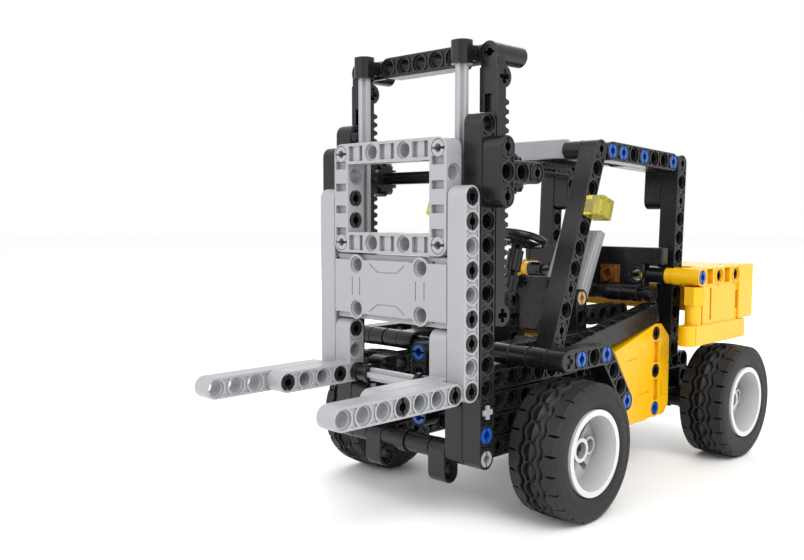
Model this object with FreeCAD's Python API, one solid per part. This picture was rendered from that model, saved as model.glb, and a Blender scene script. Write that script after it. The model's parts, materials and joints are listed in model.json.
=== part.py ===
import FreeCAD
import Part
import math
import os

# Toy forklift made of pin-and-beam construction pieces. Millimetres, +Z up, forks towards -Y,
# +X is the vehicle's left side. The origin is the bottom centre of the bounding box.
# Places are given in modules of the hole grid: column x across, row y along, level z up,
# where y = 0 is the fork carriage and z = 0 is the fork level at rest.

V = FreeCAD.Vector

# ---- driving dimensions -------------------------------------------------------------------------
M = 8.0                      # hole pitch of the beams
BEAM_T = 7.8                 # beam size along its holes
BEAM_R = 3.7                 # half height of a beam, and the radius of its round ends
EDGE_R = 0.35                # rounding of the moulded edges
HOLE_R = 2.45                # pin hole
RIM_R = 3.1                  # counterbore of a pin hole
RIM_D = 0.85                 # depth of the counterbore
WEB_D = 0.5                  # depth of the recess between two holes
PIN_R = 2.4                  # pins and axles, 0.05 mm radial clearance in a hole
AXLE_ARM = 1.8               # width of an axle's cross arms
TYRE_R = 24.75
TYRE_W = 20.0
RIM_OUT_R = 15.2
AXLE_Z = -3                  # level of both wheel axles
FRONT_Y = 5                  # rows of the wheel axles
REAR_Y = 20
WHEEL_X = 6                  # column of the wheel's middle plane
GEAR_R = 6.0                 # pitch radius of the lift pinion: 12 teeth of module 1
GEAR_TEETH = 12
PINION_Y = 3
PINION_Z = 9
FORK_TIP_Y = -7              # last hole row of the fork

TOOTH = 2 * math.pi * GEAR_R / GEAR_TEETH
FRONT_END = FORK_TIP_Y * M - BEAM_R
REAR_END = REAR_Y * M + TYRE_R
Y0 = -(FRONT_END + REAR_END) / 2
Z0 = TYRE_R - AXLE_Z * M

FRAMES = {
    "X": (V(0, 1, 0), V(0, 0, 1), V(1, 0, 0)),
    "Y": (V(0, 0, 1), V(1, 0, 0), V(0, 1, 0)),
    "Z": (V(1, 0, 0), V(0, 1, 0), V(0, 0, 1)),
}


# ---- placing ------------------------------------------------------------------------------------
def at(x, y, z):
    """A grid place in millimetres, in the part's own frame."""
    return V(x * M, y * M + Y0, z * M + Z0)


def frame_matrix(u, v, n, origin):
    m = FreeCAD.Matrix()
    m.A11, m.A21, m.A31 = u.x, u.y, u.z
    m.A12, m.A22, m.A32 = v.x, v.y, v.z
    m.A13, m.A23, m.A33 = n.x, n.y, n.z
    m.A14, m.A24, m.A34 = origin.x, origin.y, origin.z
    return m


def settle(shape, u, v, n, origin):
    """Move a piece rigidly so that its local axes become u, v and n at the origin given."""
    copy = shape.copy()
    copy.Placement = FreeCAD.Placement(frame_matrix(u, v, n, origin)).multiply(copy.Placement)
    return copy


def place(shape, axis, x, y, z):
    """Turn a piece made about local +Z so that its axis runs along X, Y or Z, at a grid place."""
    u, v, n = FRAMES[axis]
    return settle(shape, u, v, n, at(x, y, z))


def moved(shape, x, y, z=0.0):
    copy = shape.copy()
    copy.translate(V(x, y, z))
    return copy


def mirror(shape):
    return shape.mirror(V(0, 0, 0), V(1, 0, 0))


def both_sides(*shapes):
    return list(shapes) + [mirror(s) for s in shapes]


def row(start, end):
    """Hole places from one grid point to another, one module apart."""
    (u0, v0), (u1, v1) = start, end
    count = round(math.hypot(u1 - u0, v1 - v0))
    if count == 0:
        return [start]
    return [(u0 + (u1 - u0) * i / count, v0 + (v1 - v0) * i / count) for i in range(count + 1)]


def ray(start, degrees, length):
    """The end of a run that leaves start at an angle from +u."""
    a = math.radians(degrees)
    return (start[0] + length * math.cos(a), start[1] + length * math.sin(a))


# ---- small tools --------------------------------------------------------------------------------
def cyl(r, length, z=0.0, x=0.0, y=0.0):
    """A cylinder centred at z, about local +Z."""
    return Part.makeCylinder(r, length, V(x, y, z - length / 2))


def block(dx, dy, dz, x=0.0, y=0.0, z=0.0):
    return Part.makeBox(dx, dy, dz, V(x - dx / 2, y - dy / 2, z - dz / 2))


def cross(length, r=PIN_R, arm=AXLE_ARM):
    """The cross section of an axle, as long as given."""
    arms = block(2 * r, arm, length).fuse(block(arm, 2 * r, length))
    return arms.common(cyl(r, length)).removeSplitter()


def hole_tool(kind, depth=BEAM_T):
    if kind == "axle":
        return cross(depth + 2, r=HOLE_R, arm=AXLE_ARM + 0.1)
    tool = cyl(HOLE_R, depth + 2)
    for side in (-1, 1):
        tool = tool.fuse(cyl(RIM_R, RIM_D + 1, side * (depth / 2 - RIM_D / 2 + 0.5)))
    return tool.removeSplitter()


def web_tool(depth=BEAM_T):
    """The bow-tie recess between two neighbouring holes, on both faces."""
    tools = []
    for side in (-1, 1):
        z = side * (depth / 2 - WEB_D / 2 + 0.5)
        pocket = block(M, 2 * BEAM_R - 1.8, WEB_D + 1, M / 2, 0, z)
        for u in (0, M):
            pocket = pocket.cut(cyl(BEAM_R, WEB_D + 4, z, u))
        tools += pocket.Solids
    return tools


def capsule(p, q, r=BEAM_R, depth=BEAM_T):
    """A flat bar with round ends between two points in modules."""
    a, b = V(p[0] * M, p[1] * M, -depth / 2), V(q[0] * M, q[1] * M, -depth / 2)
    if a.distanceToPoint(b) < 1e-6:
        return Part.makeCylinder(r, depth, a)
    d = (b - a).normalize()
    s = V(-d.y, d.x, 0) * r
    edges = [Part.LineSegment(a - s, b - s).toShape(), Part.Arc(b - s, b + d * r, b + s).toShape(),
             Part.LineSegment(b + s, a + s).toShape(), Part.Arc(a + s, a - d * r, a - s).toShape()]
    return Part.Face(Part.Wire(edges)).extrude(V(0, 0, depth))


def soften(solid, depth=BEAM_T, r=EDGE_R):
    """Round the edges of both flat faces of a bar made about local +Z."""
    rims = [e for e in solid.Edges
            if all(abs(abs(v.Z) - depth / 2) < 1e-4 for v in e.Vertexes)]
    return solid.makeFillet(r, rims)


def beam(runs, axis, level, axles=(), blind=(), depth=BEAM_T, web=True):
    """A beam with a hole at every module of its runs. runs are pairs of end points (u, v)."""
    body = None
    for p, q in runs:
        bar = capsule(p, q, depth=depth)
        body = bar if body is None else body.fuse(bar)
    body = soften(body.removeSplitter(), depth)
    holes, webs = {}, []
    for p, q in runs:
        places = row(p, q)
        for u, v in places:
            holes[(round(u, 3), round(v, 3))] = (u, v)
        if web and len(places) > 1:
            turn = math.degrees(math.atan2(q[1] - p[1], q[0] - p[0]))
            for u, v in places[:-1]:
                for tool in web_tool(depth):
                    piece = tool.copy()
                    piece.rotate(V(0, 0, 0), V(0, 0, 1), turn)
                    webs.append(moved(piece, u * M, v * M))
    pin_tool, axle_tool = hole_tool("pin", depth), hole_tool("axle", depth)
    cuts = []
    for key, (u, v) in holes.items():
        if key not in blind:
            cuts.append(moved(axle_tool if key in axles else pin_tool, u * M, v * M))
    body = body.cut(cuts)
    if webs:
        body = body.cut(webs)
    x, y, z = {"X": (level, 0, 0), "Y": (0, level, 0), "Z": (0, 0, level)}[axis]
    return place(body, axis, x, y, z)


def pin(length=2, collar=True, lips=(-1, 1)):
    """A connector pin, centred: lips and slots at its ends, a collar in the middle."""
    half = length * M / 2 - 0.15
    body = cyl(PIN_R, 2 * half)
    for side in lips:
        body = body.fuse(cyl(2.75, 0.55, side * (half - 0.3)))
    if collar:
        body = body.fuse(cyl(2.95, 1.3))
    bore = [cyl(1.45, 5, side * (half - 2)) for side in (-1, 1)]
    slot = [block(0.9, 8, 4, 0, 0, side * (half - 1.5)) for side in (-1, 1)]
    return body.cut(bore + slot).removeSplitter()


def bush(length=M - 0.3, r=3.6):
    """A spacer with two flanges and a cross bore."""
    body = cyl(2.95, length)
    for side in (-1, 1):
        body = body.fuse(cyl(r, 1.6, side * (length / 2 - 0.8)))
    return body.cut(cross(length + 2, r=PIN_R + 0.05, arm=AXLE_ARM + 0.1)).removeSplitter()


def tube(length, r=3.6, inner=PIN_R + 0.05, neck=True):
    """A round connector with a waist, bored through."""
    body = cyl(r, length)
    if neck and length > 1.5 * M:
        ring = cyl(r + 1, 1.2).cut(cyl(r - 0.45, 2))
        body = body.cut(ring)
    return body.cut(cyl(inner, length + 2))


def axle_x(x0, x1, y, z):
    return place(cross((x1 - x0) * M), "X", (x0 + x1) / 2, y, z)


def pins_x(x, spots, length=2):
    return [place(pin(length), "X", x, y, z) for y, z in spots]


# ---- fork carriage, the moving part of the lift -------------------------------------------------
FRAME_STEP = 0.5             # depth of the step between two slots of the frame


def carriage_frame():
    """An open 5 x 7 frame: front holes on the long sides, side holes on the short ones."""
    t = BEAM_T / 2
    outer = soften(capsule((6, -3), (10, -3)).fuse([capsule((6, 3), (10, 3)),
                   capsule((6, -3), (6, 3)), capsule((10, -3), (10, 3)),
                   block(4 * M, 6 * M, BEAM_T, 8 * M, 0, 0)]).removeSplitter())
    body = outer.cut(block(4 * M - 2 * BEAM_R, 6 * M - 2 * BEAM_R, 20, 8 * M, 0, 0))
    cuts = []
    for z in (6, 10):
        for x in (-3, -1, 1, 3):
            cuts.append(moved(hole_tool("pin"), z * M, x * M))
        for x in (-2, 0, 2):
            well = Part.makeCylinder(HOLE_R, 10, V(z * M - 5, x * M, 0), V(1, 0, 0))
            cuts.append(well)
            for side in (-1, 1):
                cuts.append(block(5.4, 7.4, 2 * FRAME_STEP, z * M, x * M, side * t))
                for lean in (-1, 1):
                    cuts.append(block(5.4, 2.2, 3.2, z * M, x * M + lean * 2.6, side * t))
    for x in (-3, 3):
        for z in (7, 8, 9):
            cuts.append(Part.makeCylinder(HOLE_R, 10, V(z * M, x * M - 5, 0), V(0, 1, 0)))
            for lean in (-1, 1):
                rim = Part.makeCylinder(RIM_R, RIM_D, V(z * M, x * M + lean * t, 0),
                                        V(0, -lean, 0))
                cuts.append(rim)
        for z in (6.5, 7.5, 8.5, 9.5):
            for side in (-1, 1):
                cuts.append(block(2.9, 5.6, 3.6, z * M, x * M, side * t))
    return place(body.cut(cuts), "Y", 0, 0, 0)


def carriage_panel():
    """The smooth 3 x 7 front panel with four ring bosses and engraved lines."""
    t, wide, tall = BEAM_T / 2, 3.5 * M - 0.2, 1.5 * M - 0.3
    body = block(2 * tall, 2 * wide, BEAM_T, 4 * M, 0, 0)
    for side in (-1, 1):
        for end in (-1, 1):
            step = block(3.0, 2 * wide - 2 * 1.2 * M + 40, 4, 4 * M + side * (tall - 0.4), 0, -t)
            step = step.cut(block(20, 2 * 1.25 * M, 20, 4 * M, 0, 0))
            body = body.cut(step)
    rims = [e for e in body.Edges if abs(e.BoundBox.ZMax + t) < 1e-4 or
            (e.BoundBox.ZLength > 6 and abs(abs(e.BoundBox.YMax) - wide) < 1e-4)]
    body = body.makeFillet(0.6, rims)
    bosses, cuts = [], []
    for z in (3, 5):
        for x in (-2, 2):
            bosses.append(cyl(BEAM_R, BEAM_T, 0, z * M, x * M))
            cuts.append(moved(hole_tool("pin"), z * M, x * M))
        for side in (-1, 1):
            for r, near, deep in ((HOLE_R, -1, 9.2), (RIM_R, -1, 1.9), (RIM_R, 7.0, 1.2)):
                mouth = V(z * M, side * (3.5 * M - near), 0)
                cuts.append(Part.makeCylinder(r, deep, mouth, V(0, -side, 0)))
    body = body.fuse(bosses).removeSplitter()
    hollow = block(2 * tall - 3.2, 3.0 * M - 1.6, BEAM_T - 2.4, 4 * M, 0, 2.4)
    cuts.append(hollow)
    for lean, z in ((1, 4.72), (-1, 3.28)):
        points = [(z * M + lean * 2.6, -1.05 * M), (z * M, -0.6 * M), (z * M, 0.6 * M),
                  (z * M + lean * 2.6, 1.05 * M)]
        for p, q in zip(points, points[1:]):
            cuts.append(groove(p, q, -t))
    for x in (-2, 2):
        for lean in (-1, 1):
            u = x * M + lean * 2.0
            cuts.append(groove((3.65 * M, u), (4.4 * M, u), -t))
    return place(body.cut(cuts), "Y", 0, 0, 0)


def groove(p, q, z, width=0.6, deep=0.35):
    """A shallow engraved line between two points in millimetres, cut into a face at height z."""
    return capsule((p[0] / M, p[1] / M), (q[0] / M, q[1] / M), r=width / 2,
                   depth=2 * deep).translated(V(0, 0, z))


def rack(side):
    """A toothed lift rail: teeth to the rear, a lobe with an axle hole at each end."""
    half = 3.8
    front = 1.5 * M + 0.3
    pitch_y = PINION_Y * M - GEAR_R
    root, tip = pitch_y - 1.1, pitch_y + 0.62
    top = 13.4 * M
    bottom = 2.6 * M
    body = block(root - front, top - bottom, 2 * half, (root + front) / 2, (top + bottom) / 2)
    lobes = [cyl(BEAM_R, 2 * half, 0, 2 * M, z * M) for z in (3, 13)]
    body = body.fuse(lobes)
    lean = math.tan(math.radians(20))
    teeth = []
    first = math.ceil((3.6 * M - PINION_Z * M) / TOOTH)
    last = math.floor((12.4 * M - PINION_Z * M) / TOOTH)
    for k in range(first, last):
        z = PINION_Z * M + (k + 0.5) * TOOTH
        low = TOOTH / 4 + 1.1 * lean
        high = TOOTH / 4 - 0.62 * lean
        outline = [V(root - 0.5, z - low, -half), V(root, z - low, -half),
                   V(tip, z - high, -half), V(tip, z + high, -half), V(root, z + low, -half),
                   V(root - 0.5, z + low, -half), V(root - 0.5, z - low, -half)]
        teeth.append(Part.Face(Part.makePolygon(outline)).extrude(V(0, 0, 2 * half)))
    body = body.fuse(teeth).removeSplitter()
    cuts = [moved(cross(20, r=HOLE_R, arm=AXLE_ARM + 0.1), 2 * M, z * M) for z in (3, 13)]
    cuts.append(block(3.0, 8.6 * M, 3.4, front + 0.2, 8 * M))
    body = body.cut(cuts)
    head = Part.makeCylinder(BEAM_R, root - front, V(front, 14 * M, 0), V(1, 0, 0))
    neck = block(root - front, 1.0 * M, 2 * half - 1, (root + front) / 2, 13.6 * M)
    bore = Part.makeCylinder(HOLE_R, 20, V(front - 5, 14 * M, 0), V(1, 0, 0))
    body = body.fuse([head, neck]).cut(bore).removeSplitter()
    return place(body, "X", side * 4, 0, 0)


def lift_parts():
    parts = {}
    side_beam = beam([((0, 0), (0, 8))], "X", 4)
    parts["carriage_beam_left"] = [side_beam]
    parts["carriage_beam_right"] = [mirror(side_beam)]
    parts["carriage_frame"] = [carriage_frame()]
    parts["carriage_panel"] = [carriage_panel()]
    angle = beam([((-4, 0), (0, 0)), ((0, 0), (0, 2))], "X", 3)
    parts["fork_angles"] = both_sides(angle)
    fork = beam([((FORK_TIP_Y, 0), (-1, 0))], "X", 4)
    parts["fork_beam_left"] = [fork]
    parts["fork_beam_right"] = [mirror(fork)]
    parts["rack_left"] = [rack(1)]
    parts["rack_right"] = [rack(-1)]
    rod = place(cross(10.8 * M), "Z", 3, 1, 8.5)
    parts["lift_rods"] = both_sides(rod)
    parts["top_cross_beam"] = [beam([((14, -2), (14, 2))], "Y", 2)]
    head = place(tube(1.45 * M, neck=False), "Y", 4, 2.87, 14)
    stem = place(pin(1, collar=False, lips=()), "Y", 4, 2.06, 14)
    parts["top_connectors"] = rod_connectors() + both_sides(head, stem)
    parts["carriage_axle"] = [axle_x(-2.45, 2.45, 0, 0)]
    parts["carriage_bushes"] = both_sides(place(bush(), "X", 1.97, 0, 0))
    spots = [(0, z) for z in (0, 2, 3, 5, 7, 8)] + [(-1, 0), (-4, 0)]
    corner_pins = [place(pin(1, collar=False), "Y", x, 0, z) for x in (-3, 3) for z in (6, 10)]
    parts["carriage_pins"] = both_sides(*pins_x(3.5, spots))
    parts["carriage_frame_pins"] = corner_pins
    return parts


def rod_connectors():
    """Corner connectors on the rods: an upright socket and a cross tube behind it."""
    tall = 0.98 * M
    socket = cyl(BEAM_R, tall).common(block(2 * BEAM_R - 0.5, 2 * BEAM_R - 0.5, tall))
    cross_tube = Part.makeCylinder(BEAM_R - 0.2, 0.94 * M, V(-0.47 * M, M, 0), V(1, 0, 0))
    web = block(5.0, M, 5.0, 0, M / 2, 0)
    peg = Part.makeCylinder(PIN_R, 1.02 * M, V(-0.5 * M, M, 0), V(1, 0, 0))
    body = socket.fuse([cross_tube, web, peg]).removeSplitter()
    body = body.cut(moved(cross(0.75 * M, r=PIN_R + 0.05, arm=AXLE_ARM + 0.1), 0, 0, -0.45 * M))
    return both_sides(place(body, "Z", 3, 1, 14.03))


# ---- lift pinions -------------------------------------------------------------------------------
def involute(base, r):
    """The polar angle of an involute of the base circle at radius r."""
    a = math.acos(base / r)
    return math.tan(a) - a


def gear_outline(tip, root, backlash):
    base = GEAR_R * math.cos(math.radians(20))
    half = math.pi / (2 * GEAR_TEETH) - backlash / (2 * GEAR_R)
    shift = half + involute(base, GEAR_R)
    radii = [base + (tip - base) * i / 5 for i in range(6)]
    points = []
    for tooth in range(GEAR_TEETH):
        mid = 2 * math.pi * tooth / GEAR_TEETH
        flank = [(root, shift)] + [(r, shift - involute(base, r)) for r in radii]
        points += [(r, mid - a) for r, a in flank]
        points += [(r, mid + a) for r, a in reversed(flank)]
    loop = [V(r * math.cos(a), r * math.sin(a), 0) for r, a in points]
    return Part.Face(Part.makePolygon(loop + loop[:1]))


def pinion_gear():
    """A 12-tooth gear with bevelled tooth ends and a cross bore."""
    width, tip = 7.2, GEAR_R + 0.9
    body = gear_outline(tip, GEAR_R - 1.15, 0.24).extrude(V(0, 0, width))
    body.translate(V(0, 0, -width / 2))
    hull = cyl(tip + 1, 3.4)
    for side in (-1, 1):
        cone = Part.makeCone(tip + 1, tip - 1.4, 1.9, V(0, 0, side * 1.7), V(0, 0, side))
        hull = hull.fuse(cone)
    body = body.common(hull)
    return body.cut(cross(20, r=PIN_R + 0.02, arm=AXLE_ARM + 0.08)).removeSplitter()


def pinion_parts():
    y, z = PINION_Y, PINION_Z
    gears = both_sides(place(pinion_gear(), "X", 4, y, z))
    journal = cyl(PIN_R, M - 0.4).cut([cyl(1.45, 4, 2.5), block(0.9, 8, 4, 0, 0, 3.0)])
    ends = both_sides(place(journal, "X", 5, y, z))
    return {"pinion_gears": gears, "pinion_axle": [axle_x(-4.47, 4.47, y, z)] + ends}


# ---- fixed mast ---------------------------------------------------------------------------------
def mast_parts():
    parts = {}
    upright = beam([((1, -3), (1, 11))], "X", 4, axles=[(1, -1)])
    parts["mast_beam_left"] = [upright]
    parts["mast_beam_right"] = [mirror(upright)]
    tee = beam([((1, 8), (1, 10)), ((1, 9), (3, 9))], "X", 5)
    parts["mast_tees"] = both_sides(tee)
    foot = beam([((1, -3), (5, -3)), ((1, -3), (1, -1))], "X", 3, axles=[(1, -1)])
    leg = beam([((1, -4), (1, -3))], "X", 2)
    parts["mast_feet"] = both_sides(foot, leg)
    return parts


def mast_tubes():
    """The tube across the foot of the mast: two lengths and a thick spacer."""
    pieces = ((0.5 * M, 4.2, -0.25), (1.4 * M, 3.6, 0.75), (0.9 * M, 3.6, -1.0))
    return [place(tube(length, r=r), "X", x, 1, -3) for length, r, x in pieces]


# ---- chassis ------------------------------------------------------------------------------------
SEAT_SHAFT = (14.6, 3.1)     # row and level of the cross shaft behind the seat


def chassis_parts():
    parts = {}
    fill = [beam([((2, z), (end, z))], "X", 3) for z, end in ((0, 9), (-1, 6), (-2, 6))]
    parts["rails_front"] = both_sides(beam([((2, -3), (12, -3))], "X", 2), *fill)
    parts["rails_rear"] = both_sides(beam([((9, -3), (19, -3))], "X", 3))
    parts["rails_upper"] = both_sides(beam([((4, 1), (18, 1))], "X", 3))
    front = beam([((7, -2), (7, 1))], "X", 2)
    doubler = beam([((7, -3), (7, -1))], "X", 3)
    rear = beam([((17, -3), (17, 1))], "X", 2)
    middle = beam([((-2, 0), (1, 0))], "Y", 2)
    parts["uprights"] = [middle] + both_sides(front, doubler, rear)
    bracket = beam([((16, -1), (20, -1)), ((20, -1), (20, -3))], "X", 3)
    parts["axle_brackets"] = both_sides(bracket)
    cap = place(bush(1.1 * M - 0.4), "X", 4.1, 18, -3)
    elbow = place(tube(1.05 * M - 0.4, neck=False), "X", 3.98, 16, 4)
    lower = [axle_x(-4.6, 4.6, 18, -3), place(tube(5 * M - 0.4), "X", 0, 18, -3)]
    y, z = SEAT_SHAFT
    upper = [axle_x(-4.5, 4.5, y, z)]
    sleeves = [place(bush(r=3.3), "X", 1.2, y, z), place(tube(1.9 * M), "X", 2.75, y, z),
               place(tube(0.4 * M, r=3.2), "X", 4.3, y, z)]
    parts["cross_shafts"] = mast_tubes() + lower + upper + both_sides(cap, elbow, *sleeves)
    return parts


# ---- wheels -------------------------------------------------------------------------------------
HUB_R = 4.3                  # thick hub of a wheel


def wheel_rim():
    """A deep-dish wheel about local +Z, outer side up: a thick hub, two pin holes in its
    disc, and three petal slots above and below them."""
    h = TYRE_W / 2
    lip = 1.3
    points = [(RIM_OUT_R, h), (RIM_OUT_R, h - lip), (13.7, h - 2.6), (13.7, -h + 2.6),
              (RIM_OUT_R, -h + lip), (RIM_OUT_R, -h), (12.7, -h), (12.3, -2.0), (12.3, 1.6),
              (13.2, h)]
    loop = [V(r, 0, z) for r, z in points]
    ring = Part.Face(Part.makePolygon(loop + loop[:1])).revolve(V(0, 0, 0), V(0, 0, 1), 360)
    disc = cyl(12.5, 2.4, -0.4)
    hub = cyl(HUB_R, 16.4, -4.1)
    bosses = [cyl(3.3, 4.2, 0.2, side * M) for side in (-1, 1)]
    cuts = [cyl(HOLE_R, 20, 0, side * M) for side in (-1, 1)]
    cuts.append(cyl(3.0, 3.0, 2.7))
    for turn in (48, 90, 132, 228, 270, 312):
        petal = capsule((0.78, 0), (1.36, 0), r=1.25, depth=20)
        petal.rotate(V(0, 0, 0), V(0, 0, 1), turn)
        cuts.append(petal)
    cuts.append(cross(40, r=PIN_R + 0.02, arm=AXLE_ARM + 0.08))
    return ring.fuse([disc, hub] + bosses).cut(cuts).removeSplitter()


def tyre():
    """The tyre's plain outer body about local +Z."""
    h = TYRE_W / 2
    inner = 13.8
    profile = [(inner, -h + 2.9), (RIM_OUT_R + 0.1, -h + 1.6), (RIM_OUT_R + 0.4, -h),
               (TYRE_R - 2.6, -h), (TYRE_R - 0.9, -h + 1.0), (TYRE_R, -h + 3.4),
               (TYRE_R, h - 3.4), (TYRE_R - 0.9, h - 1.0), (TYRE_R - 2.6, h),
               (RIM_OUT_R + 0.4, h), (RIM_OUT_R + 0.1, h - 1.6), (inner, h - 2.9)]
    loop = [V(r, 0, z) for r, z in profile]
    return Part.Face(Part.makePolygon(loop + loop[:1])).revolve(V(0, 0, 0), V(0, 0, 1), 360)


def wheel_parts():
    parts = {}
    rim, rubber = wheel_rim(), tyre()
    for name, y in (("front", FRONT_Y), ("rear", REAR_Y)):
        parts["rims_" + name] = both_sides(place(rim, "X", WHEEL_X, y, AXLE_Z))
        parts["tyres_" + name] = both_sides(place(rubber, "X", WHEEL_X, y, AXLE_Z))
        spacer = place(bush(M - 1.0), "X", 4.02, y, AXLE_Z)
        parts["axle_" + name] = [axle_x(-6.3, 6.3, y, AXLE_Z)] + both_sides(spacer)
    return parts


# ---- cab ----------------------------------------------------------------------------------------
PILLAR_FOOT = (6, 1)         # hole row and level where each pillar meets the upper rail
PILLAR_REAR = (17, 1)
PILLAR_LEN = 10              # modules from the foot to the roof corner
REAR_LEN = 9
ROOF_LEN = 8
SILL_FOOT = (7.2, 0.66)      # first hole of the sloping side rail
SILL_SLOPE = 10.0
SILL_LEN = 8
SEAT_LEAN = 71.4             # slope of the panel under the seat, degrees from level


def roof_tilt():
    """The lean of the rear pillar at which the four sides of the cab close."""
    low, high = 0.0, 10.0
    base = PILLAR_REAR[0] - PILLAR_FOOT[0]
    for _ in range(50):
        mid = (low + high) / 2
        t = math.radians(mid)
        u = base + REAR_LEN * math.sin(t) - ROOF_LEN * math.cos(t)
        v = REAR_LEN * math.cos(t) + ROOF_LEN * math.sin(t)
        low, high = (mid, high) if math.hypot(u, v) < PILLAR_LEN else (low, mid)
    return mid


ROOF_TILT = roof_tilt()


def roof_line(i):
    """Hole place i along the roof, from 0 at the front corner to ROOF_LEN at the rear one."""
    corner = ray(PILLAR_REAR, 90 - ROOF_TILT, REAR_LEN)
    return ray(corner, 180 - ROOF_TILT, ROOF_LEN - i)


def slanted(shape, degrees, x, y, z):
    """Place a piece made along local +X, with its flat face up, on a slope in the side view."""
    a = math.radians(degrees)
    u, n = V(0, math.cos(a), math.sin(a)), V(0, -math.sin(a), math.cos(a))
    return settle(shape, u, V(-1, 0, 0), n, at(x, y, z))


def cab_parts():
    parts = {}
    front_top, rear_top = roof_line(0), roof_line(ROOF_LEN)
    parts["a_pillars"] = both_sides(beam([(PILLAR_FOOT, front_top)], "X", 4))
    foot = ray(rear_top, -90 - ROOF_TILT, 10)
    parts["b_pillars"] = both_sides(beam([(rear_top, foot)], "X", 4))
    parts["roof_beams"] = both_sides(beam([(roof_line(1), roof_line(7))], "X", 4))
    drop = ray(rear_top, -90 - ROOF_TILT, 2)
    link = beam([(roof_line(0), roof_line(2))], "X", 3)
    corner = beam([(roof_line(4), rear_top), (rear_top, drop)], "X", 3)
    parts["roof_links"] = both_sides(link, corner)
    y, z = roof_line(4)
    slab = block(7 * M, 5 * M - 1.2, 3.0, 0, 0, 0)
    slab = slab.makeFillet(0.5, slab.Edges)
    ribs = [block(5.2 * M, 2.0, 3.0, 0, w * M, -2.2) for w in (-2, 0, 2)]
    panel = slab.fuse(ribs)
    parts["roof_panel"] = [slanted(panel, -ROOF_TILT, 0, y, z + 0.15)]
    bar = block(5 * M - 0.3, 3.4, 7.4)
    bar = bar.makeFillet(0.5, bar.Edges)
    y, z = front_top
    parts["header_bar"] = [bar.translated(at(0, y + 0.1, z + 0.12))]
    parts["rear_panel"] = [rear_panel()]
    parts["sills"] = both_sides(sill())
    elbow = ray((7, 1), -53.13, 3)
    fender = beam([((4, 1), (7, 1)), ((7, 1), elbow)], "X", 6, axles=[(4, 1)])
    parts["fenders"] = both_sides(fender)
    tube_out = place(tube(2 * M - 0.4), "X", 4.5, 4, 1)
    parts["fender_tubes"] = [axle_x(-6.4, 6.4, 4, 1)] + both_sides(tube_out)
    hinges = beam([((11, 1), (11, 3))], "X", 2)
    arms = beam([((12, 2), (15, 2))], "X", 2)
    parts["seat_base"] = [seat_base()] + both_sides(hinges, arms)
    parts["seat_back"] = [seat_back()]
    return parts


def rear_panel():
    """The bulkhead behind the seat, with a pin hole near each top corner."""
    wide, low, high = 3.43 * M, 2.6 * M, 5.5 * M
    ear_low, ear_wide = 4.56 * M, 4.5 * M
    body = block(high - low, 2 * wide, 5.0, (high + low) / 2, 0, 0)
    ears = block(high - ear_low, 2 * ear_wide, 5.0, (high + ear_low) / 2, 0, 0)
    body = body.makeFillet(0.8, body.Edges).fuse(ears.makeFillet(0.8, ears.Edges))
    cuts = [block(3 * M, 0.6, 0.8, high, side * 4.15 * M, -2.5) for side in (-1, 1)]
    bosses = []
    for x in (-3, 3):
        bosses.append(cyl(BEAM_R - 0.2, 6.4, 0, 4 * M, x * M))
        cuts.append(cyl(HOLE_R, 20, 0, 4 * M, x * M))
        cuts.append(cyl(RIM_R, RIM_D, -3.2 + RIM_D / 2, 4 * M, x * M))
    return place(body.fuse(bosses).cut(cuts).removeSplitter(), "Y", 0, 15.75, 0)


def sill():
    """The sloping side rail of the cab, from the front pillar up to the hood."""
    return beam([(SILL_FOOT, ray(SILL_FOOT, SILL_SLOPE, SILL_LEN))], "X", 4)


def seat_base():
    """The smooth leaning panel under the seat, with four ring bosses and pairs of slots."""
    tall, wide = 2.9 * M, 3 * M - 0.2
    body = block(tall, wide, M, tall / 2, 0, -M / 2)
    body = body.makeFillet(0.6, body.Edges)
    bosses, cuts = [], []
    for x in (-1, 1):
        for up in (0.4, 2.5):
            bosses.append(cyl(BEAM_R - 0.1, M, -M / 2 + 0.3, up * M, x * M))
            cuts.append(cyl(HOLE_R, 3 * M, 0, up * M, x * M))
            cuts.append(cyl(RIM_R, RIM_D, 0.3 - RIM_D / 2, up * M, x * M))
        for lean in (-1, 1):
            u = x * M + lean * 1.5
            cuts.append(groove((1.15 * M, u), (1.75 * M, u), 0))
    body = body.fuse(bosses).removeSplitter().cut(cuts)
    return slanted(body, SEAT_LEAN, 0, 9.78, 1.28)


def seat_back():
    """A moulded seat back with raised side bolsters, leaning to the rear."""
    tall, wide = 4.3 * M, 2.6 * M
    body = block(tall, wide, 4.0, tall / 2, 0, 0)
    body = body.makeFillet(0.9, body.Edges)
    sides = [block(tall - 2, 2.6, 2.6, tall / 2, s * (wide / 2 - 1.6), 2.2) for s in (-1, 1)]
    sides = [s.makeFillet(0.7, s.Edges) for s in sides]
    return slanted(body.fuse(sides).removeSplitter(), 64, 0, 12.95, 2.45)


# ---- steering -----------------------------------------------------------------------------------
COLUMN_LEAN = 17.0           # degrees from upright, towards the driver
COLUMN_FOOT = (8.1, 3.4)     # row and level of the column's bearing


def column(shape, up):
    """Place a piece made about local +Z on the steering column, up modules above its foot."""
    a = math.radians(COLUMN_LEAN)
    n = V(0, math.sin(a), math.cos(a))
    v = V(0, math.cos(a), -math.sin(a))
    origin = at(0, *COLUMN_FOOT) + n * (up * M)
    return settle(shape, V(1, 0, 0), v, n, origin)


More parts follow.
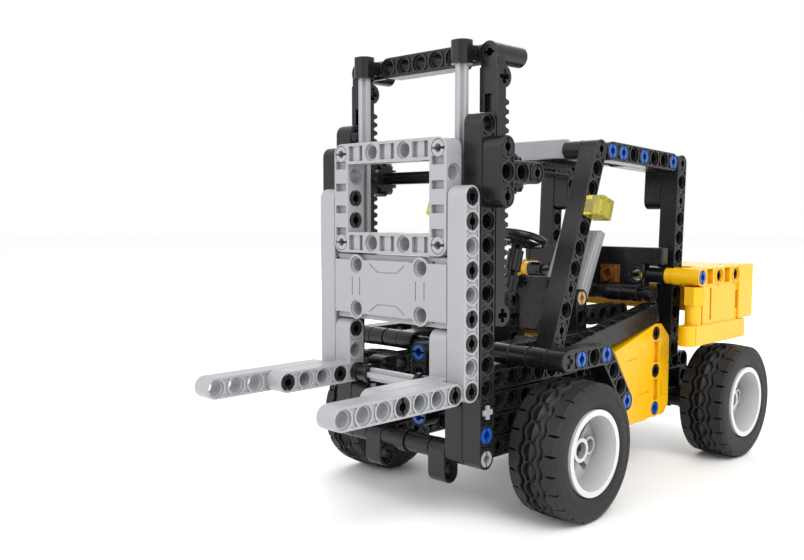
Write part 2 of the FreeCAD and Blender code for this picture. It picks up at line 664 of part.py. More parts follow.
def steering_parts():
    ring = Part.makeTorus(10.4, 1.5)
    hub = cyl(3.2, 3.2, -1.4)
    spokes = [capsule((0, 0), (1.25 * math.cos(a), 1.25 * math.sin(a)), r=1.3, depth=2.2)
              for a in (math.radians(90 + 120 * i) for i in range(3))]
    wheel = ring.fuse([hub] + spokes).cut(cross(20, r=PIN_R + 0.02, arm=AXLE_ARM + 0.08))
    shaft = cross(3.3 * M)
    sleeve = tube(1.1 * M - 0.3, r=3.2, inner=PIN_R + 0.02, neck=False)
    bearing = cyl(BEAM_R, M - 0.4).cut(cyl(HOLE_R, 20))
    post = beam([((8, 1), (8, 3))], "X", 0)
    cap = column(bearing, 0.25)
    pedestal = post.cut(column(cyl(BEAM_R + 0.02, M - 0.2), 0.25)).cut(
        column(cyl(HOLE_R + 0.3, 3 * M), 0.25))
    return {"steering_wheel": [column(wheel.removeSplitter(), 2.75)],
            "steering_shaft": [column(shaft, 1.2), column(sleeve, 1.6)],
            "pedestal": [cap, pedestal]}


# ---- yellow bodywork ----------------------------------------------------------------------------
def side_panel():
    """The yellow flank: a slanted top, a notched front edge and three ring bosses."""
    t = BEAM_T
    pts = [(10.95, 0.42), (15.0, 1.5), (15.55, 1.48), (16.42, 0.75), (16.42, -2.95),
           (15.95, -3.44), (14.25, -3.44), (14.05, -3.5), (12.5, -3.5), (12.15, -2.78),
           (12.72, -2.2)]
    loop = [V(u * M, v * M, t / 2) for u, v in pts]
    body = Part.Face(Part.makePolygon(loop + loop[:1])).extrude(V(0, 0, -t))
    corner = [e for e in body.Edges if e.BoundBox.ZLength > t - 0.1
              and e.BoundBox.XMin > 15.2 * M]
    body = body.makeFillet(2.2, corner)
    rims = [e for e in body.Edges if abs(e.BoundBox.ZMin - t / 2) < 1e-4]
    body = body.makeFillet(0.5, rims)
    cuts, bosses = [], []
    for z in (1, -1, -3):
        cuts.append(moved(hole_tool("pin"), 15 * M, z * M))
        bosses.append(cyl(BEAM_R, t, 0, 15 * M, z * M))
    for z in (0, -2):
        cuts.append(block(3.6, 9.6, 3.0, 15 * M, z * M, t / 2))
        cuts.append(block(0.6, 6.5, 1.4, 15.62 * M, z * M, t / 2))
    hollow = [(11.7, 0.3), (14.2, 0.95), (14.2, -3.1), (12.75, -3.1), (12.6, -2.8), (13.1, -2.15)]
    loop = [V(u * M, v * M, t / 2 - 1.6) for u, v in hollow]
    cuts.append(Part.Face(Part.makePolygon(loop + loop[:1])).extrude(V(0, 0, -t)))
    for u, v in ((12.1, -0.15), (13.35, -2.05)):
        cuts.append(groove((u * M, v * M), ((u + 0.9) * M, (v + 0.05) * M), t / 2))
    body = body.cut(cuts[3:]).fuse(bosses).removeSplitter().cut(cuts[:3])
    return place(body, "X", 4, 0, 0)


HOOD_OUT = 6.5               # outer face of the hood sides
HOOD_TOP = 4.5
HOOD_REAR = 22.1


def hood_side():
    """One side of the hood: bosses along the top, a corner stack in front, a lip below."""
    def slab(x0, x1, y0, y1, z0, z1, r=0.4):
        body = block((x1 - x0) * M, (y1 - y0) * M, (z1 - z0) * M)
        if r:
            body = body.makeFillet(r, body.Edges)
        return body.translated(at((x0 + x1) / 2, (y0 + y1) / 2, (z0 + z1) / 2))

    wall = slab(5.9, HOOD_OUT - 0.12, 16.35, 21.2, 1.4, 3.62)
    band = slab(5.55, HOOD_OUT - 0.06, 16.3, 20.4, 3.55, HOOD_TOP - 0.02)
    rear = slab(5.3, HOOD_OUT, 20.35, HOOD_REAR, 1.52, HOOD_TOP)
    lip = soften(capsule((5.52, 15.45), (5.52, 20.75), depth=1.06 * M), 1.06 * M)
    wide = block(0.6 * M, 5.7 * M, 1.06 * M - 0.6, 6.2 * M, 18.3 * M, 0)
    lip = place(lip, "Z", 0.48, 0, 0.97).fuse(wide.translated(at(0, 0, 0.97)))
    post = place(cyl(3.3, 1.3 * M), "Z", 6, 16, 2.05)
    hub = place(hexagon(4.2, 0.95 * M), "Z", 6, 16, 3.02)
    body = wall.fuse([band, rear, lip, post, hub])
    bosses = [place(cyl(BEAM_R, 7.6), "X", 6.02, y, 4) for y in (18, 20)]
    nose = place(cyl(BEAM_R, 1.55 * M), "X", 5.72, 16, 4)
    neck = place(cyl(BEAM_R - 0.35, 0.62 * M), "X", 4.82, 16, 4)
    body = body.fuse(bosses + [nose, neck]).removeSplitter()
    cuts = []
    for y in (16, 18, 20):
        cuts.append(place(cyl(HOLE_R, 30), "X", 6, y, 4))
        cuts.append(place(cyl(RIM_R, RIM_D + 1), "X", HOOD_OUT + (0.5 - RIM_D / 2) / M, y, 4))
    for y in (17, 19):
        pocket = slab(6.15, 7.0, y - 0.38, y + 0.3, 3.62, 4.4, 0)
        cuts.append(pocket.cut(place(cyl(BEAM_R, 60), "X", 6, y - 1, 4)).cut(
            place(cyl(BEAM_R, 60), "X", 6, y + 1, 4)))
    cuts.append(slab(6.2, 7.0, 20.15, 20.35, 2.1, 3.1, 0))
    cuts.append(slab(6.2, 7.0, 17.1, 17.3, 1.7, 3.4, 0))
    return body.cut(cuts)


def hexagon(r, depth):
    points = [V(r * math.cos(a), r * math.sin(a), -depth / 2)
              for a in (math.radians(60 * i) for i in range(7))]
    return Part.Face(Part.makePolygon(points)).extrude(V(0, 0, depth))


def hood_cover():
    """The top and tail of the hood between its two sides, open below."""
    width = 2 * 5.28 * M
    front = 17.75
    long = (HOOD_REAR - front) * M
    tall = 2.9 * M
    y, z = (HOOD_REAR + front) / 2, HOOD_TOP - 0.04 - tall / M / 2
    body = block(width, long, tall)
    body = body.makeFillet(0.6, body.Edges).translated(at(0, y, z))
    inside = block(width - 6, long - 3, tall).translated(at(0, y - 0.3, z - 0.4))
    body = body.cut(inside)
    cuts = []
    for x in (-4, -2, 0, 2, 4):
        cuts.append(place(cyl(HOLE_R, 12), "Y", x, HOOD_REAR, 3.5))
        cuts.append(place(cyl(RIM_R, 2), "Y", x, HOOD_REAR, 3.5))
    for x in (-3, -1, 1, 3):
        cuts.append(block(0.8, 3.4 * M, 1.0).translated(at(x, 19.6, HOOD_TOP)))
    return body.cut(cuts)


def body_parts():
    parts = {}
    flank = side_panel()
    parts["side_panel_left"] = [flank]
    parts["side_panel_right"] = [mirror(flank)]
    side = hood_side()
    parts["hood_left"] = [side]
    parts["hood_right"] = [mirror(side)]
    parts["hood_cover"] = [hood_cover()]
    return parts


# ---- lamps and pins -----------------------------------------------------------------------------
def lamp():
    """A clear cube lamp, hollow from behind."""
    body = block(7.8, 7.8, 7.8)
    body = body.makeFillet(0.5, body.Edges)
    return body.cut(block(5.2, 5.2, 6.6, 0, 0, -1.6))


def lamp_parts():
    y, z = ray(PILLAR_FOOT, math.degrees(math.atan2(roof_line(0)[1] - 1, roof_line(0)[0] - 6)), 7)
    head = place(lamp(), "X", 5.02, y, z)
    head.rotate(at(5, y, z), V(1, 0, 0), -18)
    base = block(7.8, 3.4, 7.8, 0, 0, 0)
    ring = Part.makeCylinder(3.0, 1.2, V(0, -1.5, 0), V(0, -1, 0))
    well = Part.makeCylinder(1.9, 3.0, V(0, -0.6, 0), V(0, -1, 0))
    base = base.fuse(ring).cut(well).translated(at(1.5, 15.2, 4.05))
    return {"head_lamps": both_sides(head), "tail_lamps": both_sides(base)}


def pin_parts():
    parts = {}
    top = roof_line(0)
    lean = math.degrees(math.atan2(top[1] - 1, top[0] - 6))
    roof = [roof_line(i) for i in (1, 2, 4, 7)]
    blue = pins_x(3.5, roof + [(15, -3)])
    blue += [place(pin(1, collar=False), "X", 6, y, z)
             for y, z in [(5, 1), (7, 1), ray((7, 1), -53.13, 3)]]
    blue += pins_x(3.5, [(1, -2)])
    blue += [place(pin(1, collar=False, lips=(1,)), "X", 6.02, 16, 4)]
    middle = [place(pin(1, collar=False), "Y", 0, 2, z) for z in (-2, 1)]
    parts["blue_pins"] = middle + both_sides(*blue)
    black = pins_x(3.5, [roof_line(0), roof_line(8), ray(roof_line(8), -90 - ROOF_TILT, 2)])
    black += [place(pin(1, collar=False), "X", 4, *ray(PILLAR_FOOT, lean, i)) for i in (1, 3)]
    black += pins_x(3.5, [PILLAR_FOOT, PILLAR_REAR, (15, 1)])
    black += [place(pin(1, collar=False, lips=()), "X", 5.9, y, 4) for y in (18, 20)]
    black += [place(pin(1, collar=False), "X", x, y, z)
              for x, y, z in ((4, 15, -1), (2, 12, 2), (2, 15, 2))]
    black += pins_x(4.5, [(1, 8), (1, 10)])
    black += pins_x(2.5, [(4, -3), (3, -3), (11, -3), (17, -1), (7, 1), (7, -1), (17, -3), (11, 1)])
    parts["black_pins"] = both_sides(*black)
    grey = [place(pin(3, collar=False), "X", 3, 1, -3), axle_x(2.4, 4.55, 1, -1)]
    parts["grey_pins"] = both_sides(*grey)
    parts["seat_pins"] = both_sides(place(pin(1, collar=False), "X", 2, 11, 3))
    return parts


# ---- output -------------------------------------------------------------------------------------
def main():
    os.makedirs("parts", exist_ok=True)
    nodes = {}
    for maker in (lift_parts, pinion_parts, mast_parts, chassis_parts, wheel_parts, cab_parts,
                  steering_parts, body_parts, lamp_parts, pin_parts):
        nodes.update(maker())
    for name, solids in sorted(nodes.items()):
        shape = solids[0] if len(solids) == 1 else Part.makeCompound(solids)
        shape.exportStep("parts/%s.step" % name)
        box = shape.BoundBox
        print("%-20s solids %2d valid %s box %.1f %.1f %.1f .. %.1f %.1f %.1f" % (
            name, len(shape.Solids), shape.isValid(), box.XMin, box.YMin, box.ZMin,
            box.XMax, box.YMax, box.ZMax))
    print(len(nodes), "nodes")


main()
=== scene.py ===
"""Looks of the toy forklift: materials, treaded tyres, camera and studio light round the CAD frame."""

import json
import math

import bmesh
import bpy
from mathutils import Matrix, Vector


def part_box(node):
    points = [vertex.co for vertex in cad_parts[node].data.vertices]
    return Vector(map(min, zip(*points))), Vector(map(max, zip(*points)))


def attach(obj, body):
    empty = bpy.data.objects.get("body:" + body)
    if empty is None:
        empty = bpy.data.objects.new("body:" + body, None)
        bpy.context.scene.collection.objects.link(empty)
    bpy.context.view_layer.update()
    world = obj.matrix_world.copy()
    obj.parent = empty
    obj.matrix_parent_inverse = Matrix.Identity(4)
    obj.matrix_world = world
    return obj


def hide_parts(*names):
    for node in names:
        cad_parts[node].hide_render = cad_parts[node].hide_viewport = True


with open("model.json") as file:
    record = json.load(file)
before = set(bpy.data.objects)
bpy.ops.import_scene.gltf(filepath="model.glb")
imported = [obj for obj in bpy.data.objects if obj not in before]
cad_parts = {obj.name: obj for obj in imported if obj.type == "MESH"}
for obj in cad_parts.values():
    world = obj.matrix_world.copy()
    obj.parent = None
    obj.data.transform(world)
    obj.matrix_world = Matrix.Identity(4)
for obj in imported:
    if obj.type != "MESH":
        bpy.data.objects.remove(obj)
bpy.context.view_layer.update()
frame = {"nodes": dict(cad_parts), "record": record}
nodes = frame["nodes"]
record = frame["record"]
MM = 0.001

# ---- camera ----------------------------------------------------------------------------------
CAMERA_AT = (0.22392, -0.28409, 0.10730)    # metres: ahead of the forks, on the left
CAMERA_AZIMUTH = 0.7823974                  # radians, about 45 degrees
CAMERA_PITCH = 0.0744506                    # radians downwards
CAMERA_LENS = 40.027                        # millimetres
CAMERA_CLIP = 0.01                          # metres to the nearest thing that is drawn


def add_camera():
    data = bpy.data.cameras.new("camera")
    data.lens = CAMERA_LENS
    data.clip_start = CAMERA_CLIP
    camera = bpy.data.objects.new("camera", data)
    camera.location = CAMERA_AT
    camera.rotation_euler = (math.pi / 2 - CAMERA_PITCH, 0, CAMERA_AZIMUTH)
    bpy.context.scene.collection.objects.link(camera)
    bpy.context.scene.camera = camera


# ---- node helpers ----------------------------------------------------------------------------
MIX_FACTOR = 0               # a Mix node's sockets when it mixes colours
MIX_A = 6
MIX_B = 7
MIX_RESULT = 2
EDGE_SAMPLES = 4
HOLLOW_SAMPLES = 6
EDGE_START = 0.99            # how far the rounded normal leaves the flat one, as a cosine
EDGE_FULL = 0.8
HOLLOW_START = 0.85          # how open to its surroundings a face is, 1 being fully open
HOLLOW_FULL = 0.25


class Graph:
    """A material's node tree, with short calls for adding and linking nodes."""

    def __init__(self, name):
        self.material = bpy.data.materials.new(name)
        self.material.use_nodes = True
        self.tree = self.material.node_tree
        self.shader = self.tree.nodes["Principled BSDF"]
        self.place = self.add("ShaderNodeTexCoord").outputs["Object"]

    def add(self, kind, inputs=(), **settings):
        node = self.tree.nodes.new(kind)
        for key, value in settings.items():
            setattr(node, key, value)
        for key, value in dict(inputs).items():
            self.feed(node.inputs[key], value)
        return node

    def feed(self, socket, value):
        if isinstance(value, bpy.types.NodeSocket):
            self.tree.links.new(value, socket)
        else:
            socket.default_value = value

    def noise(self, scale, detail=3.0, roughness=0.5):
        node = self.add("ShaderNodeTexNoise", {"Vector": self.place, "Scale": scale,
                                               "Detail": detail, "Roughness": roughness})
        return node.outputs["Fac"]

    def remap(self, value, low, high, to_low, to_high):
        node = self.add("ShaderNodeMapRange", {0: value, 1: low, 2: high, 3: to_low, 4: to_high})
        return node.outputs[0]

    def mix(self, factor, a, b):
        node = self.add("ShaderNodeMix", data_type="RGBA")
        self.feed(node.inputs[MIX_FACTOR], factor)
        self.feed(node.inputs[MIX_A], a)
        self.feed(node.inputs[MIX_B], b)
        return node.outputs[MIX_RESULT]

    def times(self, a, b):
        return self.add("ShaderNodeMath", {0: a, 1: b}, operation="MULTIPLY").outputs[0]

    def bump(self, height, distance, strength=1.0, normal=None):
        node = self.add("ShaderNodeBump", {"Height": height, "Distance": distance,
                                           "Strength": strength})
        if normal is not None:
            self.feed(node.inputs["Normal"], normal)
        return node.outputs["Normal"]

    def edges(self, width):
        """0 on flat faces, rising to 1 within a width of a sharp edge."""
        bevel = self.add("ShaderNodeBevel", {"Radius": width}, samples=EDGE_SAMPLES)
        rounded = bevel.outputs["Normal"]
        flat = self.add("ShaderNodeNewGeometry").outputs["Normal"]
        match = self.add("ShaderNodeVectorMath", {0: rounded, 1: flat}, operation="DOT_PRODUCT")
        return self.remap(match.outputs["Value"], EDGE_START, EDGE_FULL, 0.0, 1.0)

    def hollows(self, reach):
        """0 on open faces, rising to 1 where the piece's own faces close in within a reach."""
        node = self.add("ShaderNodeAmbientOcclusion", {"Distance": reach},
                        samples=HOLLOW_SAMPLES, only_local=True)
        return self.remap(node.outputs["AO"], HOLLOW_START, HOLLOW_FULL, 0.0, 1.0)

    def set(self, **values):
        for key, value in values.items():
            self.feed(self.shader.inputs[key.replace("_", " ")], value)
        return self.material


def rgb(r, g, b):
    return (r, g, b, 1.0)


# ---- materials -------------------------------------------------------------------------------
EDGE_WIDTH = 0.3 * MM        # how far the painted highlight along a plastic edge reaches
CLEAR_EDGE_WIDTH = 0.7 * MM
TYRE_EDGE_WIDTH = 0.4 * MM
HOLLOW_REACH = 4 * MM        # how near the faces of a recess stand where painted shade darkens the plastic
DEEP_REACH = 5 * MM          # the same for clear plastic and rubber
PALE_REACH = 16 * MM         # the same for the pale grey rims, whose dish is wide
GRAIN = 0.007 * MM           # height of the mould grain
WAVES = 0.03 * MM            # height of a surface's shallow waves, and of the tyres' grain
PLASTIC_IOR = 1.5
CLEAR_IOR = 1.45
CLEARNESS = 0.82             # share of the light that goes through clear plastic


def plastic(name, base, shade, light, rough=0.3, clouding=0.12, gloss=0.5, reach=HOLLOW_REACH):
    """Moulded plastic: soft clouding, painted recess shade, painted edge highlights, fine mould grain.
    """
    g = Graph(name)
    cloud = g.remap(g.noise(45.0, 2.0), 0.35, 0.65, 0.0, 1.0)
    colour = g.mix(g.times(cloud, clouding), base, shade)
    # painted shade: faces closed in by the piece's own faces are mixed towards the darker shade colour
    colour = g.mix(g.times(g.hollows(reach), 0.8), colour, shade)
    # painted highlight: faces near a sharp edge are mixed towards the paler light colour
    colour = g.mix(g.times(g.edges(EDGE_WIDTH), 0.45), colour, light)
    speck = g.noise(2600.0, 2.0)
    waviness = g.noise(160.0, 2.0)
    finish = g.remap(g.noise(380.0, 4.0), 0.3, 0.7, rough - 0.03, rough + 0.04)
    normal = g.bump(speck, GRAIN)
    normal = g.bump(waviness, WAVES, 0.12, normal)
    return g.set(Base_Color=colour, Roughness=finish, Normal=normal, IOR=PLASTIC_IOR,
                 Specular_IOR_Level=gloss)


def clear_plastic(name, base, deep, bright):
    """Tinted see-through plastic, with painted shade where it is hollow and a painted highlight at its
    edges.
    """
    g = Graph(name)
    cloud = g.remap(g.noise(220.0, 2.0), 0.3, 0.7, 0.0, 1.0)
    colour = g.mix(g.times(cloud, 0.5), base, deep)
    # painted shade: hollows are mixed towards the deep colour
    colour = g.mix(g.hollows(DEEP_REACH), colour, deep)
    # painted highlight: edges are mixed towards the bright colour
    colour = g.mix(g.edges(CLEAR_EDGE_WIDTH), colour, bright)
    finish = g.remap(g.noise(500.0), 0.3, 0.7, 0.04, 0.12)
    normal = g.bump(g.noise(350.0, 2.0), WAVES, 0.5)
    return g.set(Base_Color=colour, Roughness=finish, Normal=normal, IOR=CLEAR_IOR,
                 Transmission_Weight=CLEARNESS)


def rubber(name):
    """Tyre rubber: matt, with fine grain, cloudy dust, painted highlights on block edges and painted
    shade in the grooves.
    """
    g = Graph(name)
    dark = rgb(0.009, 0.009, 0.010)
    dusty = rgb(0.022, 0.022, 0.023)
    # the painted highlight's colour along the block edges
    painted_highlight = rgb(0.07, 0.07, 0.072)
    shadow = rgb(0.001, 0.001, 0.001)
    cloud = g.remap(g.noise(70.0, 4.0, 0.6), 0.35, 0.65, 0.15, 0.6)
    colour = g.mix(cloud, dark, dusty)
    # painted highlight: block edges are mixed towards a paler grey
    colour = g.mix(g.times(g.edges(TYRE_EDGE_WIDTH), 0.3), colour, painted_highlight)
    # painted shade: grooves and other hollows are mixed towards near black
    colour = g.mix(g.hollows(DEEP_REACH), colour, shadow)
    finish = g.remap(g.noise(900.0, 3.0), 0.3, 0.7, 0.5, 0.68)
    normal = g.bump(g.noise(3000.0, 3.0, 0.6), WAVES)
    return g.set(Base_Color=colour, Roughness=finish, Normal=normal, IOR=PLASTIC_IOR,
                 Specular_IOR_Level=0.3)


def floor_material():
    """Near-white paper, barely clouded."""
    g = Graph("floor")
    cloud = g.noise(3.0, 3.0)
    colour = g.mix(cloud, rgb(0.96, 0.96, 0.96), rgb(0.98, 0.98, 0.98))
    return g.set(Base_Color=colour, Roughness=0.65)


def make_materials():
    """One material for each slot of the record."""
    # Each plastic's colours: its base, a darker shade for clouding and for the painted shade in
    # recesses, and a paler light for the painted highlight along edges.
    return {
        "light_grey": plastic("light_grey", rgb(0.31, 0.315, 0.33), rgb(0.24, 0.245, 0.26),
                              rgb(0.58, 0.59, 0.60), 0.32),
        "black": plastic("black", rgb(0.007, 0.007, 0.008), rgb(0.002, 0.002, 0.002),
                         rgb(0.14, 0.14, 0.145), 0.27, gloss=0.36),
        "yellow": plastic("yellow", rgb(0.78, 0.43, 0.004), rgb(0.62, 0.24, 0.002),
                          rgb(0.95, 0.66, 0.08), 0.26, clouding=0.06, gloss=0.4),
        "mid_grey": plastic("mid_grey", rgb(0.30, 0.31, 0.32), rgb(0.18, 0.18, 0.19),
                            rgb(0.55, 0.56, 0.57), 0.32),
        "blue": plastic("blue", rgb(0.006, 0.075, 0.36), rgb(0.003, 0.03, 0.16),
                        rgb(0.05, 0.22, 0.65), 0.26),
        "tan": plastic("tan", rgb(0.55, 0.38, 0.17), rgb(0.38, 0.24, 0.10),
                       rgb(0.75, 0.60, 0.38), 0.30),
        "pale_grey": plastic("pale_grey", rgb(0.60, 0.60, 0.61), rgb(0.20, 0.20, 0.205),
                             rgb(0.74, 0.74, 0.74), 0.24, reach=PALE_REACH),
        "clear_yellow": clear_plastic("clear_yellow", rgb(0.90, 0.82, 0.03),
                                      rgb(0.55, 0.47, 0.01), rgb(1.0, 0.95, 0.25)),
        "clear_orange": clear_plastic("clear_orange", rgb(0.62, 0.24, 0.03),
                                      rgb(0.30, 0.10, 0.01), rgb(0.95, 0.50, 0.12)),
        "tyre": rubber("tyre"),
    }


SHARP_ANGLE = math.radians(28)


def crisp(obj):
    """Smooth shading between sharp edges, with flat faces kept flat."""
    mesh = obj.data
    if "custom_normal" in mesh.attributes:
        mesh.attributes.remove(mesh.attributes["custom_normal"])
    mesh.shade_smooth()
    mesh.set_sharp_from_angle(angle=SHARP_ANGLE)
    modifier = obj.modifiers.new("flat faces stay flat", "WEIGHTED_NORMAL")
    modifier.keep_sharp = True


def dress_nodes(materials):
    """Gives each CAD node its slot's material and smooth shading between its sharp edges."""
    slots = {part["node"]: part["material_slot"] for part in record["subparts"]}
    for name, obj in nodes.items():
        obj.data.materials.clear()
        obj.data.materials.append(materials[slots[name]])
        crisp(obj)


# ---- sills -----------------------------------------------------------------------------------
BEAM_WIDTH = 7.8 * MM        # a beam's size along its holes
BEAM_HEIGHT = 7.4 * MM       # a beam's size across its holes


def add_sills(materials):
    """The sloping side rails, turned a quarter round their own length: holes up, plain sides."""
    low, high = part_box("sills")
    middle = (Vector(low) + Vector(high)) / 2
    run = high[1] - low[1] - BEAM_HEIGHT
    rise = high[2] - low[2] - BEAM_HEIGHT
    along = Vector((0, run, rise)).normalized()
    source = nodes["sills"]
    for side, label in ((1, "left"), (-1, "right")):
        centre = Vector((side * (high[0] - BEAM_WIDTH / 2), middle.y, middle.z))
        bm = bmesh.new()
        bm.from_mesh(source.data)
        bmesh.ops.transform(bm, matrix=source.matrix_world, verts=bm.verts)
        away = [v for v in bm.verts if v.co.x * side < 0]
        bmesh.ops.delete(bm, geom=away, context="VERTS")
        turn = (Matrix.Translation(centre) @ Matrix.Rotation(math.pi / 2, 4, along)
                @ Matrix.Translation(-centre))
        bmesh.ops.transform(bm, matrix=turn, verts=bm.verts)
        mesh = bpy.data.meshes.new(f"sill_{label}")
        bm.to_mesh(mesh)
        bm.free()
        sill = bpy.data.objects.new(f"sill_{label}", mesh)
        bpy.context.scene.collection.objects.link(sill)
        crisp(sill)
        mesh.materials.clear()
        mesh.materials.append(materials["black"])
        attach(sill, "chassis")
        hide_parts("sills")


# ---- tyres -----------------------------------------------------------------------------------
BLOCKS = 22                 # tread blocks round one tyre
TYRE_WIDTH = 20 * MM
TYRE_MARGIN = 0.02 * MM     # keeps the tread inside the plain tyre's outline
GROOVE_DEPTH = 1.6 * MM
GROOVE_HALF = 0.46 * MM     # half the width of a groove between two blocks

# The centre block is a hexagon: narrow at both ends and wide between the ramps. Places along a
# block are fractions of its length.
RAMP_START = 0.12
RAMP_END = 0.36
STATIONS = (0.0, RAMP_START, RAMP_END, 0.5, 1 - RAMP_END, 1 - RAMP_START)

# Millimetres across the tread.
NARROW = 1.85               # from the middle to the centre block's narrow end
SWING = 1.0                 # how much farther its wide part stands out
RIB = 2.4                   # width of the rib beside the centre blocks
CROWN = 0.0065              # the tread's fall below its middle, per square millimetre
TREAD_INSET = 1.0           # from the tyre's side to the edge of its tread
SHOULDER_INSET = 1.1        # sets the shoulder's middle row, half way from here to the rib
SHOULDER_AT = 7.4           # where on the crown that row takes its radius

# The sidewall from the tread to the bead, in millimetres: how far each point lies inside the
# tyre's side, and how far below its radius.
SIDEWALL = ((0.25, 1.75), (0.08, 3.0), (0.02, 3.3), (0.2, 3.6), (0.02, 5.6), (0.1, 7.4),
            (0.55, 8.7), (0.95, 9.2), (1.6, 9.5), (2.9, 10.8))

# Rows of the section, counted from the middle of the tread. The far half mirrors them.
CENTRE_ROW = 0
RIB_ROW = 1
SHOULDER_ROWS = (2, 3, 4)
TREAD_FOOT = 5


def zigzag(phase):
    """How far the centre block's edge stands out at this phase of a block, 0 to 1."""
    from_narrow = 0.5 - RAMP_START - abs(phase - 0.5)
    return min(1.0, max(0.0, from_narrow / (RAMP_END - RAMP_START)))


def tyre_rows(phase, radius, half):
    """The tyre's closed section as (offset along the axle, radius), in millimetres."""
    def crown(offset):
        return radius - CROWN * offset * offset

    inner = NARROW + SWING * zigzag(phase)
    outer = inner + RIB
    shoulder = (outer + half - SHOULDER_INSET) / 2
    edge = half - TREAD_INSET
    side = [(0.0, radius), (inner, crown(inner)), (outer, crown(outer)),
            (shoulder, crown(SHOULDER_AT)), (edge, crown(edge))]
    side += [(half - inset, radius - drop) for inset, drop in SIDEWALL]
    far = [(-offset, r) for offset, r in side[:0:-1]]
    return side + far


def tyre_rings(bm, centre, radius, half):
    """The tyre's vertices: one ring of section points at each station of each block."""
    rings = []
    for block in range(BLOCKS):
        for phase in STATIONS:
            angle = 2 * math.pi * (block + phase) / BLOCKS
            y = math.cos(angle)
            z = math.sin(angle)
            rings.append([bm.verts.new((centre.x + offset * MM, centre.y + r * MM * y,
                                        centre.z + r * MM * z))
                          for offset, r in tyre_rows(phase, radius, half)])
    return rings


def tyre_faces(bm, rings):
    """The closed skin between the rings, as a dictionary from (ring, row) to face."""
    rows = len(rings[0])
    faces = {}
    for i, ring in enumerate(rings):
        following = rings[(i + 1) % len(rings)]
        for j in range(rows):
            k = (j + 1) % rows
            faces[i, j] = bm.faces.new((ring[j], ring[k], following[k], following[j]))
    return faces


def tread_tiles(faces, columns, rows):
    """The faces of each raised piece of tread: centre blocks, two ribs and shoulder blocks."""
    last = rows - 1
    spots = len(STATIONS)
    centres = {}
    ribs = {"far": [], "near": []}
    shoulders = {}
    for (i, j), face in faces.items():
        near = j <= SHOULDER_ROWS[-1]
        row = j if near else last - j
        if row == CENTRE_ROW:
            centres.setdefault(i // spots, []).append(face)
        elif row == RIB_ROW:
            ribs["near" if near else "far"].append(face)
        elif row in SHOULDER_ROWS:
            half_a_block_back = (i - spots // 2) % columns
            shoulders.setdefault((near, half_a_block_back // spots), []).append(face)
    return list(centres.values()) + list(ribs.values()) + list(shoulders.values())


def outline_of(tile):
    """The vertices on the outer edges of a group of faces."""
    uses = {}
    for face in tile:
        for edge in face.edges:
            uses[edge] = uses.get(edge, 0) + 1
    return {vert for edge, count in uses.items() if count == 1 for vert in edge.verts}


def build_tyre(name, centre, radius, half):
    """One treaded tyre: a closed ring whose blocks are parted by V grooves."""
    bm = bmesh.new()
    rings = tyre_rings(bm, centre, radius, half)
    rows = len(rings[0])
    faces = tyre_faces(bm, rings)
    bm.normal_update()
    tiles = tread_tiles(faces, len(rings), rows)
    outline = {vert for tile in tiles for vert in outline_of(tile)}
    tread_feet = {ring[j] for ring in rings for j in (TREAD_FOOT, rows - TREAD_FOOT)}
    for tile in tiles:
        bmesh.ops.inset_region(bm, faces=tile, thickness=GROOVE_HALF, use_even_offset=True)
    for vert in outline - tread_feet:
        away = Vector((0, vert.co.y - centre.y, vert.co.z - centre.z)).normalized()
        vert.co -= away * GROOVE_DEPTH
    bmesh.ops.recalc_face_normals(bm, faces=bm.faces)
    mesh = bpy.data.meshes.new(name)
    bm.to_mesh(mesh)
    bm.free()
    mesh.shade_smooth()
    mesh.set_sharp_from_angle(angle=SHARP_ANGLE)
    obj = bpy.data.objects.new(name, mesh)
    bpy.context.scene.collection.objects.link(obj)
    return obj


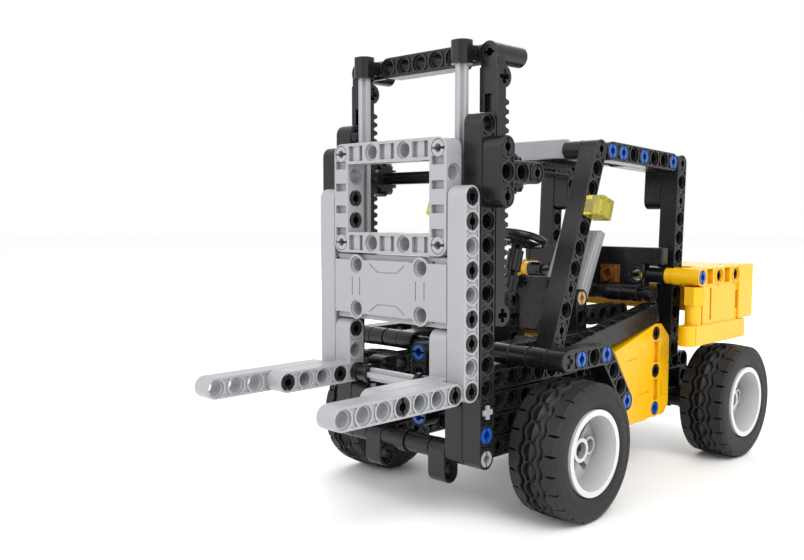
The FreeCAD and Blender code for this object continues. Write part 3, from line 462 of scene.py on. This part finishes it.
def add_tyres(materials):
    """Treaded tyres in the places of the frame's plain ones."""
    half = TYRE_WIDTH / 2
    for axle in ("front", "rear"):
        low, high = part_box(f"tyres_{axle}")
        radius = (high[2] - low[2]) / 2 - TYRE_MARGIN
        centre_y = (low[1] + high[1]) / 2
        centre_z = (low[2] + high[2]) / 2
        for side, label in ((1, "left"), (-1, "right")):
            x = side * (high[0] - half)
            tyre = build_tyre(f"tyre_{axle}_{label}", Vector((x, centre_y, centre_z)),
                              radius / MM, half / MM)
            tyre.data.materials.append(materials["tyre"])
            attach(tyre, f"{axle}_wheels")
            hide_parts(f"tyres_{axle}")


# ---- stage -----------------------------------------------------------------------------------
FLOOR_REACH = 4.0            # metres from the middle of the floor to its edges
FLOOR_SQUARES = 8
WORLD_STRENGTH = 1.0
LIGHT_TARGET = (0, 0, 0.07)
# Each square light's name, place in metres, side in metres and power in watts.
LIGHTS = (("key", (0.9, -0.35, 0.95), 0.8, 11.0),
          ("front_fill", (-0.35, -1.1, 0.65), 0.9, 5.0),
          ("back_fill", (-0.6, 0.9, 0.8), 0.9, 5.0))


def add_floor():
    bm = bmesh.new()
    bmesh.ops.create_grid(bm, x_segments=FLOOR_SQUARES, y_segments=FLOOR_SQUARES,
                          size=FLOOR_REACH)
    mesh = bpy.data.meshes.new("floor")
    bm.to_mesh(mesh)
    bm.free()
    floor = bpy.data.objects.new("floor", mesh)
    floor.data.materials.append(floor_material())
    bpy.context.scene.collection.objects.link(floor)


def add_light(name, at, side, power):
    """A square lamp that faces the model."""
    data = bpy.data.lights.new(name, "AREA")
    data.shape = "SQUARE"
    data.size = side
    data.energy = power
    light = bpy.data.objects.new(name, data)
    light.location = at
    facing = Vector(LIGHT_TARGET) - Vector(at)
    light.rotation_euler = facing.to_track_quat("-Z", "Y").to_euler()
    bpy.context.scene.collection.objects.link(light)


def add_studio():
    """Three lamps in an evenly white surrounding."""
    for name, at, side, power in LIGHTS:
        add_light(name, at, side, power)
    world = bpy.data.worlds.new("studio")
    world.use_nodes = True
    background = world.node_tree.nodes["Background"]
    background.inputs["Color"].default_value = rgb(1.0, 1.0, 1.0)
    background.inputs["Strength"].default_value = WORLD_STRENGTH
    bpy.context.scene.world = world
    bpy.context.scene.view_settings.view_transform = "Standard"


def main():
    materials = make_materials()
    dress_nodes(materials)
    add_sills(materials)
    add_tyres(materials)
    add_floor()
    add_studio()
    add_camera()


main()
